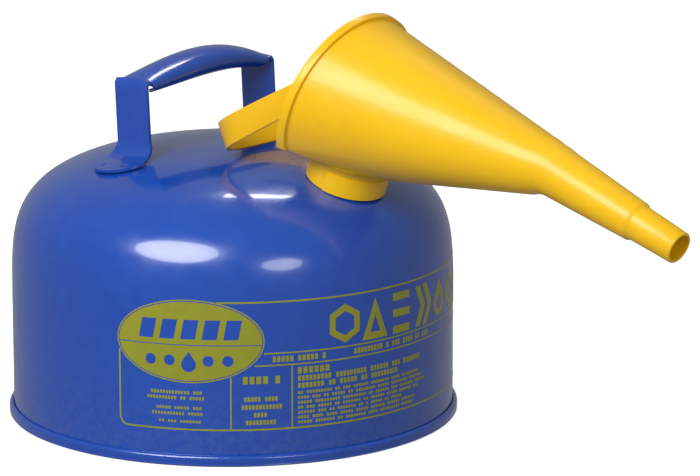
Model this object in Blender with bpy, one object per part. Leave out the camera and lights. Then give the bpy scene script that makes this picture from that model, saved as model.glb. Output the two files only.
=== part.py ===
"""Round steel safety can for fuel, with a strap handle, a sprung spout lid and a lift-off pouring funnel.

+X points the way the funnel pours, the handle grip runs along Y, +Z is up.
The origin is on the floor, halfway between the can's rear rim and the nozzle's end.
Lengths are in metres and angles in degrees.
"""

import math

import bmesh
import bpy
from mathutils import Matrix, Vector

# Can body
RIM_R = 0.142875  # outside of the bottom seam, an 11 1/4 inch can
RIM_H = 0.0072
WALL_R = 0.1400  # outside of the drawn shell
SHEET = 0.0010
SHOULDER_Z = 0.0652  # where the straight wall turns into the dome
DOME_H = 0.1058
DOME_SIDE_POWER = 2.54
DOME_CROWN_POWER = 4.69
PAN_RECESS = 0.0060
GAP = 0.0003  # between touching pieces

# Spout, measured along its own axis from the dome
SPOUT_X = 0.0940  # from the can's axis
SPOUT_TILT = 19.0
NECK_R = 0.0200
NECK_TOP = 0.0280
LIP_R = 0.0215
LID_R = 0.0228
LID_TOP = 0.0323
PLATE_LOW = LID_TOP - 0.0012  # underside of the lid's plate
RIVET_R = 0.0024
RIVET_HOLE_R = 0.0027
SCREEN_R = 0.0182
SCREEN_LENGTH = 0.0980

# Lid hinge, behind the neck
HINGE_BACK = 0.0280
HINGE_UP = 0.0280
PIN_R = 0.0015
LEVER_W = 0.0120
LEVER_T = 0.0016
LEVER_TIP_BACK = 0.0690
LEVER_TIP_UP = 0.0215
EAR_INNER = 0.0063  # bracket ears, half the distance between them
EAR_T = 0.0014
SPRING_WIRE = 0.0009
SPRING_COIL_R = 0.0025

# Carrying handle
HANDLE_X = -0.0282  # its feet, from the can's axis, away from the spout
HANDLE_LEAN = 0.0027  # how much farther back the grip is
STRAP_W = 0.0272
STRAP_T = 0.0020
LEG_Y = 0.0590
CORNER_Z = 0.2165
ARCH_RISE = 0.0110
ARCH_SKEW = 0.0032  # the arch leans to one side: higher there and lower on the other
GRIP_FLAT_Y = 0.0600  # where the strap starts to roll, from the middle
GRIP_ROUND_Y = 0.0480  # where it is fully rolled
GRIP_DEPTH = 0.0152
GRIP_END_THINNING = 0.5  # share of that depth lost towards the corners
FOOT_BEND_R = 0.0090
PAD_R = 0.0200
PAD_Y = 0.0680
STRAP_POINTS = 15  # points across the strap

# Funnel: a cone, a bent outlet and a stepped nozzle, all round
CONE_X = 0.16124  # a point on the cone's axis, from the can's axis
CONE_Z = 0.2059
CONE_R = 0.0382  # outside radius at that point
CONE_FALL = 9.1
CONE_HALF_ANGLE = 12.6
CONE_REAR = 0.0950  # from that point back past the mouth
BEND_AT = 0.0954  # from that point forward to the bend
OUTLET_FALL = 20.0
OUTLET_R = 0.0165
STEP_AT = 0.0660
STEP_LENGTH = 0.0030
STEP_R = 0.0124
NOZZLE_R = 0.0111
NOZZLE_END_AT = 0.1001
NOZZLE_END_R = 0.0100
FUNNEL_WALL = 0.0020
MOUTH_X = 0.0929  # a point of the mouth's plane
MOUTH_Z = 0.2178
MOUTH_SLOPE = 68.0
RIM_BEAD = 0.0024
FLOOR_UP = 0.0205  # underside of the funnel's floor, along the spout axis
FLOOR_BORE_R = 0.0240
SLOT_HALF = 0.0095  # slot at the rear that clears the lid's hinge
COLLAR_BORE_R = 0.0236
COLLAR_R = 0.0249
COLLAR_FRONT_R = 0.0260
COLLAR_FLARE_AT = 0.0050  # height where the collar starts to widen
COLLAR_FLARE = 0.0072

# Loop behind the funnel's mouth
LOOP_HALF_W = 0.0476
LOOP_POWER = 2.4
LOOP_T = 0.0024
LOOP_REAR_LOW = (0.0200, 0.1722)  # x and z of the rear wall's lower edge
LOOP_REAR_HIGH = (0.0095, 0.1876)
LOOP_MOUTH_LOW = (0.0765, 0.2025)  # x and z of the lower edge at the mouth
LOOP_MOUTH_HIGH = (0.0875, 0.2266)
LOOP_END_LOW = 1.27  # how far each edge reaches into the mouth, as a share of its length to there
LOOP_END_HIGH = 1.15

# Worked out from the above
NOZZLE_REACH = (
    CONE_X
    + BEND_AT * math.cos(math.radians(CONE_FALL))
    + NOZZLE_END_AT * math.cos(math.radians(OUTLET_FALL))
    + NOZZLE_END_R * math.sin(math.radians(OUTLET_FALL))
)
CAN_X = (RIM_R - NOZZLE_REACH) / 2

ROUND = 48  # sides of the can
MEDIUM = 32  # sides of the funnel and collar
SMALL = 24  # sides of the spout's pieces
TINY = 12  # sides of pins and rivets

BLUE = (0.030, 0.093, 0.392)
YELLOW = (0.955, 0.610, 0.006)
STEEL = (0.560, 0.570, 0.580)
BRASS = (0.720, 0.520, 0.230)
BLACK = (0.020, 0.020, 0.022)


def clear_scene():
    for old in list(bpy.context.scene.objects):
        bpy.data.objects.remove(old, do_unlink=True)


def make_material(name, colour, roughness, metallic):
    material = bpy.data.materials.new(name)
    material.use_nodes = True
    shader = material.node_tree.nodes["Principled BSDF"]
    shader.inputs["Base Color"].default_value = (*colour, 1.0)
    shader.inputs["Roughness"].default_value = roughness
    shader.inputs["Metallic"].default_value = metallic
    return material


def enamel(name):
    return make_material(name, BLUE, 0.22, 0.0)


def yellow_plastic(name):
    return make_material(name, YELLOW, 0.35, 0.0)


def bare_metal(name, colour=STEEL):
    return make_material(name, colour, 0.32, 1.0)


def black_rubber(name):
    return make_material(name, BLACK, 0.75, 0.0)


def add_empty(name, location, parent=None, tilt=0.0):
    empty = bpy.data.objects.new(name, None)
    empty.empty_display_size = 0.02
    empty.location = location
    empty.rotation_euler = (0.0, math.radians(tilt), 0.0)
    empty.parent = parent
    bpy.context.collection.objects.link(empty)
    return empty


def add_solid(name, mesh_builder, material, parent, location=(0.0, 0.0, 0.0)):
    """Turn a closed bmesh into a named object with smooth sides and sharp edges."""
    bmesh.ops.remove_doubles(mesh_builder, verts=mesh_builder.verts, dist=1e-6)
    bmesh.ops.recalc_face_normals(mesh_builder, faces=mesh_builder.faces)
    mesh = bpy.data.meshes.new(name)
    mesh_builder.to_mesh(mesh)
    mesh_builder.free()
    mesh.materials.append(material)
    mesh.shade_smooth()
    mesh.set_sharp_from_angle(angle=math.radians(35))
    solid = bpy.data.objects.new(name, mesh)
    solid.location = location
    solid.parent = parent
    bpy.context.collection.objects.link(solid)
    return solid


def add_cutter(name, mesh_builder, parent, location=(0.0, 0.0, 0.0)):
    material = make_material(name, BLACK, 0.5, 0.0)
    cutter = add_solid(name, mesh_builder, material, parent, location)
    cutter.hide_render = True
    cutter.display_type = "WIRE"
    return cutter


def combine(solid, tool, operation="DIFFERENCE"):
    boolean = solid.modifiers.new(tool.name, "BOOLEAN")
    boolean.operation = operation
    boolean.solver = "EXACT"
    boolean.object = tool


def loft(rings, closed=False):
    """Skin a run of equal rings, capped at both ends or joined end to start."""
    mesh = bmesh.new()
    rows = [[mesh.verts.new(point) for point in ring] for ring in rings]
    sides = len(rings[0])
    pairs = list(zip(rows[:-1], rows[1:]))
    if closed:
        pairs.append((rows[-1], rows[0]))
    for low, high in pairs:
        for i in range(sides):
            j = (i + 1) % sides
            mesh.faces.new((low[i], low[j], high[j], high[i]))
    if not closed:
        mesh.faces.new(rows[0][::-1])
        mesh.faces.new(rows[-1])
    return mesh


def turn(profile, sides, start=0.0, sweep=360.0):
    """Turn a closed outline of (radius, height) points about Z, all the way or through a sweep."""
    whole = sweep >= 360.0
    stations = sides if whole else sides + 1
    rings = []
    for i in range(stations):
        angle = math.radians(start + sweep * i / sides)
        rings.append([(r * math.cos(angle), r * math.sin(angle), z) for r, z in profile])
    mesh = loft(rings, closed=whole)
    bmesh.ops.remove_doubles(mesh, verts=mesh.verts, dist=1e-6)
    bmesh.ops.dissolve_degenerate(mesh, edges=mesh.edges, dist=1e-7)
    return mesh


def box(low, high):
    mesh = bmesh.new()
    size = Vector(high) - Vector(low)
    centre = (Vector(high) + Vector(low)) / 2
    place = Matrix.Translation(centre) @ Matrix.Diagonal((*size, 1.0))
    bmesh.ops.create_cube(mesh, size=1.0, matrix=place)
    return mesh


def plate(outline, y_low, y_high):
    """Extrude an outline of (x, z) points across Y."""
    return loft([[(x, y, z) for x, z in outline] for y in (y_low, y_high)])


def rod(radius, y_low, y_high, sides=TINY, x=0.0, z=0.0):
    """A round bar along Y."""
    rings = []
    for y in (y_low, y_high):
        angles = [math.tau * i / sides for i in range(sides)]
        rings.append([(x + radius * math.cos(a), y, z + radius * math.sin(a)) for a in angles])
    return loft(rings)


def wire(points, radius, sides=6):
    """A round wire through the points, with a frame carried along so that it doesn't twist."""
    across = Vector((0.0, 0.0, 1.0))
    rings = []
    for i, point in enumerate(points):
        ahead = points[min(i + 1, len(points) - 1)] - points[max(i - 1, 0)]
        ahead.normalize()
        across = (across - ahead * across.dot(ahead)).normalized()
        side = ahead.cross(across)
        angles = [math.tau * k / sides for k in range(sides)]
        rings.append([point + radius * (across * math.cos(a) + side * math.sin(a)) for a in angles])
    return loft(rings)


def keep_side(mesh, point, normal):
    """Cut a closed mesh by a plane, keep what lies behind its normal and close the cut."""
    everything = mesh.verts[:] + mesh.edges[:] + mesh.faces[:]
    bmesh.ops.bisect_plane(
        mesh, geom=everything, dist=1e-7, plane_co=point, plane_no=normal, clear_outer=True
    )
    border = [edge for edge in mesh.edges if edge.is_boundary]
    bmesh.ops.holes_fill(mesh, edges=border)
    return mesh


def dome_height(radius):
    """Height of the dome's outside at a distance from the can's axis."""
    share = min(radius / WALL_R, 1.0)
    return SHOULDER_Z + DOME_H * (1.0 - share**DOME_SIDE_POWER) ** (1.0 / DOME_CROWN_POWER)


def dome_profile(inset, steps=12):
    """The dome's outline from the shoulder to the crown, moved inward by the inset."""
    points = []
    for i in range(steps + 1):
        angle = math.pi / 2 * (i / steps) ** 2
        radius = (WALL_R - inset) * max(math.cos(angle), 0.0) ** (2 / DOME_SIDE_POWER)
        height = (DOME_H - inset) * math.sin(angle) ** (2 / DOME_CROWN_POWER)
        points.append((radius if i < steps else 0.0, SHOULDER_Z + height))
    return points


def build_body_shell(can, spout):
    foot = RIM_H * 0.25
    outside = [(WALL_R, foot), *dome_profile(0.0)]
    inside = [(WALL_R - SHEET, foot), *dome_profile(SHEET)]
    shell = add_solid("body_shell", turn(outside + inside[::-1], ROUND), enamel("body_blue"), can)
    hole = [(0.0, -0.02), (NECK_R + GAP, -0.02), (NECK_R + GAP, 0.02), (0.0, 0.02)]
    combine(shell, add_cutter("neck_hole", turn(hole, SMALL), spout))
    return shell


def build_bottom_pan(can):
    """A recessed pan whose edge folds round the shell's lower edge as a double seam."""
    slot_in = WALL_R - SHEET - GAP
    slot_out = WALL_R + GAP
    slot_bottom = RIM_H * 0.2
    chamfer = 0.0012
    seam_in = slot_in - 0.0018
    top = PAN_RECESS + SHEET
    profile = [
        (0.0, top),
        (slot_in, top),
        (slot_in, slot_bottom),
        (slot_out, slot_bottom),
        (slot_out, RIM_H),
        (RIM_R - chamfer, RIM_H),
        (RIM_R, RIM_H - chamfer),
        (RIM_R, chamfer),
        (RIM_R - chamfer, 0.0),
        (seam_in + chamfer, 0.0),
        (seam_in, chamfer),
        (seam_in, PAN_RECESS),
        (0.0, PAN_RECESS),
    ]
    return add_solid("bottom_pan", turn(profile, ROUND), enamel("pan_blue"), can)


def spread():
    """Places across the strap, from one edge (-1) to the other (1)."""
    return [2 * i / (STRAP_POINTS - 1) - 1 for i in range(STRAP_POINTS)]


def handle_x(height):
    """The middle of the strap, which leans back with height."""
    foot = dome_height(math.hypot(HANDLE_X, LEG_Y))
    return HANDLE_X - HANDLE_LEAN * min(max((height - foot) / (CORNER_Z - foot), 0.0), 1.0)


def arch_height(y):
    u = y / LEG_Y
    return CORNER_Z + (ARCH_RISE + ARCH_SKEW * u) * (1 - u**2)


def roll_at(y):
    """How far the strap is rolled: 0 is flat and 1 is a closed tube."""
    share = (GRIP_FLAT_Y - abs(y)) / (GRIP_FLAT_Y - GRIP_ROUND_Y)
    share = min(max(share, 0.0), 1.0)
    return share * share * (3 - 2 * share)


def grip_section(y):
    """Points across the strap at one place along the grip, its width kept while its edges curl under."""
    curl = max(roll_at(y) * math.pi * 0.88, 0.02)
    radius = STRAP_W / 2 / math.sin(min(curl, math.pi / 2))
    flatten = GRIP_DEPTH / STRAP_W * (1 - GRIP_END_THINNING * (y / LEG_Y) ** 2)
    points = []
    for u in spread():
        x = handle_x(CORNER_Z) + radius * math.sin(curl * u)
        drop = radius * (1 - math.cos(curl * u)) * flatten
        points.append(Vector((x, y, arch_height(y) - drop)))
    return points


def grip_sections():
    """Sections of the top of the handle, from one corner to the other."""
    steps = 30
    return [grip_section((LEG_Y - 0.0015) * (2 * i / steps - 1)) for i in range(steps + 1)]


def leg_sections(side):
    """Sections of one leg and its foot pad, from the corner down to the pad's far end."""
    half = STRAP_W / 2
    foot_z = dome_height(math.hypot(HANDLE_X, LEG_Y)) + 0.0021
    rows = []
    for height in (CORNER_Z - 0.0020, 0.2000, 0.1880, foot_z + FOOT_BEND_R):
        rows.append(flat_row(side * LEG_Y, height, half))
    for angle in (25.0, 50.0, 72.0):
        a = math.radians(angle)
        y = LEG_Y + FOOT_BEND_R * (1 - math.cos(a))
        lift = FOOT_BEND_R * (1 - math.sin(a))
        rows.append(pad_row(side * y, half + 0.002 * a, lift))
    for y in (0.0700, 0.0720, 0.0750, 0.0790, 0.0825, 0.0855, 0.0872, 0.0879):
        pad_half = math.sqrt(PAD_R**2 - (y - PAD_Y) ** 2)
        widen = min((y - LEG_Y - FOOT_BEND_R) / 0.004, 1.0)
        rows.append(pad_row(side * y, min(half + 0.0025 + 0.0040 * widen, pad_half), 0.0))
    return rows


def flat_row(y, z, half):
    return [Vector((handle_x(z) + half * u, y, z)) for u in spread()]


def pad_row(y, half, lift):
    """A row that follows the dome, lifted off it where the foot bends."""
    row = []
    for u in spread():
        x = HANDLE_X + half * u
        centre = dome_height(math.hypot(HANDLE_X, y))
        here = dome_height(math.hypot(x, y))
        blend = 1 - min(lift / FOOT_BEND_R, 1.0)
        row.append(Vector((x, y, centre + (here - centre) * blend + lift + 0.0021)))
    return row


def build_handle_strap(can):
    rows = leg_sections(-1)[::-1] + grip_sections() + leg_sections(1)
    mesh = bmesh.new()
    grid = [[mesh.verts.new(point) for point in row] for row in rows]
    for near, far in zip(grid[:-1], grid[1:]):
        for i in range(STRAP_POINTS - 1):
            mesh.faces.new((near[i], near[i + 1], far[i + 1], far[i]))
    strap = add_solid("handle_strap", mesh, enamel("handle_blue"), can)
    thicken = strap.modifiers.new("sheet", "SOLIDIFY")
    thicken.thickness = STRAP_T
    thicken.offset = 0.0
    return strap


def build_spout_neck(spout):
    bore = NECK_R - SHEET
    profile = [
        (bore, -0.0100),
        (NECK_R, -0.0100),
        (NECK_R, GAP),
        (NECK_R + 0.0030, GAP),
        (NECK_R + 0.0030, GAP + SHEET),
        (NECK_R, GAP + 2 * SHEET),
        (NECK_R, NECK_TOP - 0.0030),
        (LIP_R, NECK_TOP - 0.0022),
        (LIP_R, NECK_TOP - 0.0008),
        (LIP_R - 0.0008, NECK_TOP),
        (bore + 0.0006, NECK_TOP),
        (bore, NECK_TOP - 0.0006),
    ]
    return add_solid("spout_neck", turn(profile, SMALL), bare_metal("neck_steel"), spout)


def build_arrester(spout):
    """The flame arrester: two fine screens one inside the other, hung from a ring in the neck."""
    top = NECK_TOP - 0.0080
    bottom = top - SCREEN_LENGTH
    ring_r = NECK_R - SHEET - GAP
    ring = [(0.0150, top + GAP), (ring_r, top + GAP), (ring_r, top + 0.0022), (0.0150, top + 0.0022)]
    add_solid("arrester_ring", turn(ring, SMALL), bare_metal("ring_brass", BRASS), spout)
    for name, outer in (("arrester_outer_screen", SCREEN_R), ("arrester_inner_screen", SCREEN_R - 0.0022)):
        inner = outer - 0.0006
        screen = [(inner, bottom), (outer, bottom), (outer, top), (inner, top)]
        add_solid(name, turn(screen, SMALL), bare_metal(name + "_wire", BRASS), spout)
    cap = [
        (0.0, bottom - GAP - 0.0010),
        (SCREEN_R, bottom - GAP - 0.0010),
        (SCREEN_R, bottom - GAP),
        (0.0, bottom - GAP),
    ]
    add_solid("arrester_end_cap", turn(cap, SMALL), bare_metal("cap_brass", BRASS), spout)


def hinge_local(x, z):
    """A point of the spout's frame, seen from the hinge axis."""
    return (x + HINGE_BACK, z - HINGE_UP)


def lid_disc(points, sides=SMALL):
    """A disc turned about the spout axis but built about the hinge axis."""
    mesh = turn(points, sides)
    bmesh.ops.translate(mesh, verts=mesh.verts, vec=(HINGE_BACK, 0.0, -HINGE_UP))
    return mesh


def build_lid(lid):
    """The pressed cap, its seal, the washer that holds the seal and the rivet through all of them."""
    skirt_low = NECK_TOP - 0.0010
    cap = [
        (RIVET_HOLE_R, PLATE_LOW),
        (LID_R - 0.0009, PLATE_LOW),
        (LID_R - 0.0009, skirt_low),
        (LID_R, skirt_low),
        (LID_R, LID_TOP - 0.0009),
        (LID_R - 0.0009, LID_TOP),
        (RIVET_HOLE_R, LID_TOP),
    ]
    add_solid("lid_cap", lid_disc(cap), bare_metal("lid_steel"), lid)
    seal_low = NECK_TOP + GAP
    seal_high = PLATE_LOW - GAP
    seal = [
        (RIVET_HOLE_R, seal_low),
        (0.0211, seal_low),
        (0.0211, seal_high),
        (RIVET_HOLE_R, seal_high),
    ]
    add_solid("lid_gasket", lid_disc(seal), black_rubber("seal_rubber"), lid)
    washer_high = seal_low - GAP
    washer = [
        (RIVET_HOLE_R, washer_high - 0.0012),
        (0.0165, washer_high - 0.0012),
        (0.0165, washer_high),
        (RIVET_HOLE_R, washer_high),
    ]
    add_solid("gasket_retainer", lid_disc(washer), bare_metal("retainer_steel"), lid)
    head_low = LID_TOP + GAP + LEVER_T + GAP
    tail_high = washer_high - 0.0012 - GAP
    rivet = [
        (0.0, tail_high - 0.0014),
        (0.0040, tail_high - 0.0010),
        (0.0045, tail_high),
        (RIVET_R, tail_high),
        (RIVET_R, head_low),
        (0.0050, head_low),
        (0.0042, head_low + 0.0012),
        (0.0, head_low + 0.0018),
    ]
    add_solid("lid_rivet", lid_disc(rivet, TINY), bare_metal("rivet_steel"), lid)


def build_lid_lever(lid):
    """A strap over the lid with two ears on the pin, running back to a thumb pad."""
    low = LID_TOP + GAP
    spine = [
        hinge_local(0.0100, low),
        hinge_local(-HINGE_BACK - 0.0030, low),
        hinge_local(-LEVER_TIP_BACK + 0.0080, LEVER_TIP_UP),
        hinge_local(-LEVER_TIP_BACK, LEVER_TIP_UP + 0.0015),
    ]
    outline = spine + [(x, z + LEVER_T) for x, z in spine[::-1]]
    half = LEVER_W / 2
    lever = add_solid("lid_lever", plate(outline, -half, half), bare_metal("lever_steel"), lid)
    top = hinge_local(0.0, low + LEVER_T * 0.5)[1]
    right_half = [(0.0035, top), (0.0035, -0.0010), (0.0020, -0.0035)]
    ear = right_half + [(-x, y) for x, y in right_half[::-1]]
    for name, y in (("lever_ear_left", -half), ("lever_ear_right", half - 0.0016)):
        combine(lever, add_cutter(name, plate(ear, y, y + 0.0016), lid), "UNION")
    pad_x, pad_z = hinge_local(-LEVER_TIP_BACK + 0.0050, LEVER_TIP_UP + 0.0012)
    pad = box((pad_x - 0.0052, -0.0088, pad_z), (pad_x + 0.0052, 0.0088, pad_z + LEVER_T))
    combine(lever, add_cutter("thumb_pad", pad, lid), "UNION")
    combine(lever, add_cutter("lever_pin_hole", rod(PIN_R + 0.0002, -0.02, 0.02), lid))
    below, above = low - 0.002, low + 0.004
    rivet_hole = [(0.0, below), (RIVET_HOLE_R, below), (RIVET_HOLE_R, above), (0.0, above)]
    combine(lever, add_cutter("lever_rivet_hole", lid_disc(rivet_hole, TINY), lid))
    return lever


def build_hinge_bracket(spout):
    """A folded bracket on the back of the neck whose two ears carry the pin."""
    web_front = -NECK_R - GAP
    web_back = web_front - EAR_T
    ear = [
        (web_front, 0.0060),
        (web_front, NECK_TOP - 0.0045),
        (-HINGE_BACK + 0.0036, HINGE_UP - 0.0025),
        (-HINGE_BACK + 0.0034, HINGE_UP + 0.0014),
        (-HINGE_BACK + 0.0014, HINGE_UP + 0.0034),
        (-HINGE_BACK - 0.0014, HINGE_UP + 0.0034),
        (-HINGE_BACK - 0.0034, HINGE_UP + 0.0014),
        (-HINGE_BACK - 0.0034, HINGE_UP - 0.0030),
        (web_back - 0.0030, 0.0060),
    ]
    outer = EAR_INNER + EAR_T
    bracket = add_solid("hinge_bracket", plate(ear, -outer, outer), bare_metal("bracket_steel"), spout)
    gap = box((-0.05, -EAR_INNER, 0.0), (web_back, EAR_INNER, 0.05))
    combine(bracket, add_cutter("between_ears", gap, spout))
    hole = rod(PIN_R + GAP, -0.02, 0.02, TINY, -HINGE_BACK, HINGE_UP)
    combine(bracket, add_cutter("bracket_pin_hole", hole, spout))
    return bracket


def build_hinge_pin(spout):
    """The pin with its head, and the clip that keeps it in."""
    outer = EAR_INNER + EAR_T + GAP
    head = [(0.0, -outer - 0.0010), (0.0025, -outer - 0.0010), (0.0025, -outer), (PIN_R, -outer)]
    shank = [(PIN_R, outer + 0.0002), (0.0011, outer + 0.0002), (0.0011, outer + 0.0009)]
    tail = [(PIN_R, outer + 0.0009), (PIN_R, outer + 0.0012), (0.0, outer + 0.0012)]
    about_y = Matrix.Translation((-HINGE_BACK, 0.0, HINGE_UP)) @ Matrix.Rotation(math.radians(-90), 4, "X")
    pin = turn(head + shank + tail, TINY)
    bmesh.ops.transform(pin, matrix=about_y, verts=pin.verts)
    add_solid("hinge_pin", pin, bare_metal("pin_steel"), spout)
    near, far = outer + 0.0003, outer + 0.0008
    ring = [(0.0013, near), (0.0025, near), (0.0025, far), (0.0013, far)]
    clip = turn(ring, TINY, start=40.0, sweep=280.0)
    bmesh.ops.transform(clip, matrix=about_y, verts=clip.verts)
    add_solid("pin_clip", clip, bare_metal("clip_steel"), spout)


def build_lid_spring(spout):
    """A coil round the pin: one leg on the bracket's web, the other under the lever."""
    turns, steps = 4, 12
    half = 0.0030
    points = []
    for i in range(turns * steps + 1):
        angle = -math.pi / 2 + math.tau * i / steps
        y = -half + 2 * half * i / (turns * steps)
        x = -HINGE_BACK + SPRING_COIL_R * math.cos(angle)
        points.append(Vector((x, y, HINGE_UP + SPRING_COIL_R * math.sin(angle))))
    web_leg = Vector((-NECK_R - GAP - EAR_T - 0.0008, -half, HINGE_UP - SPRING_COIL_R - 0.0040))
    lever_leg = Vector((-HINGE_BACK - 0.0090, half, HINGE_UP - SPRING_COIL_R + 0.0020))
    points = [web_leg, *points, lever_leg]
    return add_solid("lid_spring", wire(points, SPRING_WIRE / 2), bare_metal("spring_steel"), spout)


def cone_point(along, out, angle):
    """A point about the cone's axis: distance along it, distance out and angle from the top."""
    fall = math.radians(CONE_FALL)
    return axis_point(Vector((CONE_X, 0.0, CONE_Z)), fall, along, out, angle)


def axis_point(start, fall, along, out, angle):
    ahead = Vector((math.cos(fall), 0.0, -math.sin(fall)))
    up = Vector((math.sin(fall), 0.0, math.cos(fall)))
    side = Vector((0.0, 1.0, 0.0))
    return start + ahead * along + (up * math.cos(angle) + side * math.sin(angle)) * out


def funnel_rings(offset, end_past=0.0):
    """Rings of the cone, the bend and the nozzle, at a distance outside (+) or inside (-) the skin."""
    slope = math.tan(math.radians(CONE_HALF_ANGLE))
    bend = cone_point(BEND_AT, 0.0, 0.0)
    cone_fall, outlet_fall = math.radians(CONE_FALL), math.radians(OUTLET_FALL)
    start = cone_point(0.0, 0.0, 0.0)
    blend = 0.0090
    cone_end = BEND_AT - blend
    stations = [
        (start, cone_fall, -CONE_REAR, CONE_R + CONE_REAR * slope),
        (start, cone_fall, cone_end, CONE_R - cone_end * slope),
        (bend, (cone_fall + outlet_fall) / 2, 0.0, OUTLET_R),
        (bend, outlet_fall, blend, OUTLET_R - 0.0008),
        (bend, outlet_fall, STEP_AT, STEP_R),
        (bend, outlet_fall, STEP_AT + STEP_LENGTH, NOZZLE_R),
        (bend, outlet_fall, NOZZLE_END_AT + end_past, NOZZLE_END_R),
    ]
    angles = [math.tau * i / MEDIUM for i in range(MEDIUM)]
    return [[axis_point(p, fall, along, r + offset, a) for a in angles] for p, fall, along, r in stations]


def spout_matrix():
    place = Matrix.Translation((SPOUT_X, 0.0, dome_height(SPOUT_X)))
    return place @ Matrix.Rotation(math.radians(SPOUT_TILT), 4, "Y")


def mouth_plane(inward=0.0):
    """A point and the outward normal of the mouth's plane, moved into the funnel."""
    slope = math.radians(MOUTH_SLOPE)
    normal = Vector((-math.sin(slope), 0.0, math.cos(slope)))
    return Vector((MOUTH_X, 0.0, MOUTH_Z)) - normal * inward, normal


def floor_plane(up):
    """A point and the downward normal of a plane square to the spout axis."""
    place = spout_matrix()
    normal = place.to_3x3() @ Vector((0.0, 0.0, -1.0))
    return place @ Vector((0.0, 0.0, up)), normal


def build_funnel_cone(can, spout):
    """The pouring cone with its rimmed mouth, flat floor, bent outlet and stepped nozzle."""
    skin = keep_side(loft(funnel_rings(0.0)), *mouth_plane())
    cone = add_solid("funnel_cone", skin, yellow_plastic("cone_yellow"), can)
    rim = keep_side(loft(funnel_rings(RIM_BEAD)), *mouth_plane(-0.0002))
    point, normal = mouth_plane(2 * RIM_BEAD)
    keep_side(rim, point, -normal)
    combine(cone, add_cutter("rim_bead", rim, can), "UNION")
    below = box((-0.10, -0.10, -0.10), (0.10, 0.10, FLOOR_UP))
    combine(cone, add_cutter("below_floor", below, spout))
    hollow = keep_side(loft(funnel_rings(-FUNNEL_WALL, 0.004)), *floor_plane(FLOOR_UP + FUNNEL_WALL))
    combine(cone, add_cutter("funnel_hollow", hollow, can))
    bore = [(0.0, 0.010), (FLOOR_BORE_R, 0.010), (FLOOR_BORE_R, 0.034), (0.0, 0.034)]
    combine(cone, add_cutter("floor_bore", turn(bore, MEDIUM), spout))
    slot = box((-0.040, -SLOT_HALF, 0.010), (-0.010, SLOT_HALF, 0.034))
    combine(cone, add_cutter("floor_slot", slot, spout))
    return cone


def build_funnel_collar(funnel):
    """The collar that slips over the neck: flared under the funnel's floor, slotted at the back."""
    low = -0.0006
    high = FLOOR_UP - GAP
    rise = high - 0.0008 - COLLAR_FLARE_AT
    outside = []
    for degrees in (0, 25, 45, 65, 90):
        a = math.radians(degrees)
        outside.append((COLLAR_R + COLLAR_FLARE * (1 - math.cos(a)), COLLAR_FLARE_AT + rise * math.sin(a)))
    profile = [(COLLAR_BORE_R, low), (COLLAR_R, low), *outside]
    profile += [(outside[-1][0], high), (COLLAR_BORE_R, high)]
    collar = add_solid("funnel_collar", turn(profile, MEDIUM), yellow_plastic("collar_yellow"), funnel)
    front_wall = [
        (COLLAR_R - 0.0005, low),
        (COLLAR_FRONT_R, low),
        (COLLAR_FRONT_R + 0.0003, 0.0120),
        (COLLAR_R - 0.0005, 0.0130),
    ]
    front = turn(front_wall, MEDIUM // 2, start=-82.0, sweep=164.0)
    combine(collar, add_cutter("collar_front", front, funnel), "UNION")
    slot = box((-0.045, -SLOT_HALF, low - 0.01), (-0.010, SLOT_HALF, high + 0.01))
    combine(collar, add_cutter("collar_slot", slot, funnel))
    return collar


def loop_outline():
    """Half of the loop's plan: how far from the rear wall to the mouth, and the half-width there."""
    points = []
    steps = 8
    knee = 0.55
    for i in range(steps + 1):
        angle = math.pi / 2 * i / steps
        ahead = knee * (1 - math.cos(angle) ** (2 / LOOP_POWER))
        points.append((ahead, math.sin(angle) ** (2 / LOOP_POWER)))
    return points


def between(rear, mouth, share):
    """A point of one edge of the loop, given as a share of the way from its rear to the mouth."""
    return tuple(a + (b - a) * share for a, b in zip(rear, mouth))


def build_funnel_loop(can):
    """A wide band from one side of the mouth, round behind the lid's lever, to the other side."""
    half = [(ahead, ahead, width) for ahead, width in loop_outline()]
    half.append((LOOP_END_LOW, LOOP_END_HIGH, 1.0))
    plan = [(low, high, -width) for low, high, width in half[::-1]] + half[1:]
    rows = []
    for low_share, high_share, width in plan:
        y = LOOP_HALF_W * width
        low_x, low_z = between(LOOP_REAR_LOW, LOOP_MOUTH_LOW, low_share)
        high_x, high_z = between(LOOP_REAR_HIGH, LOOP_MOUTH_HIGH, high_share)
        rows.append((Vector((low_x, y, low_z)), Vector((high_x, y, high_z))))
    rings = []
    for i, (low, high) in enumerate(rows):
        before, after = rows[max(i - 1, 0)][0], rows[min(i + 1, len(rows) - 1)][0]
        inward = (after - before).cross(high - low).normalized() * LOOP_T
        rings.append([low, high, high + inward, low + inward])
    return add_solid("funnel_loop", loft(rings), yellow_plastic("loop_yellow"), can)


def main():
    clear_scene()
    can = add_empty("can_axis", (CAN_X, 0.0, 0.0))
    spout = add_empty("spout_axis", (SPOUT_X, 0.0, dome_height(SPOUT_X)), can, SPOUT_TILT)
    lid = add_empty("lid_hinge_axis", (-HINGE_BACK, 0.0, HINGE_UP), spout)
    build_body_shell(can, spout)
    build_bottom_pan(can)
    build_handle_strap(can)
    build_spout_neck(spout)
    build_arrester(spout)
    build_hinge_bracket(spout)
    build_hinge_pin(spout)
    build_lid_spring(spout)
    build_lid(lid)
    build_lid_lever(lid)
    build_funnel_cone(can, spout)
    build_funnel_collar(spout)
    build_funnel_loop(can)


main()
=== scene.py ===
import math

import bmesh
import bpy
from mathutils import Matrix, Vector


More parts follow.
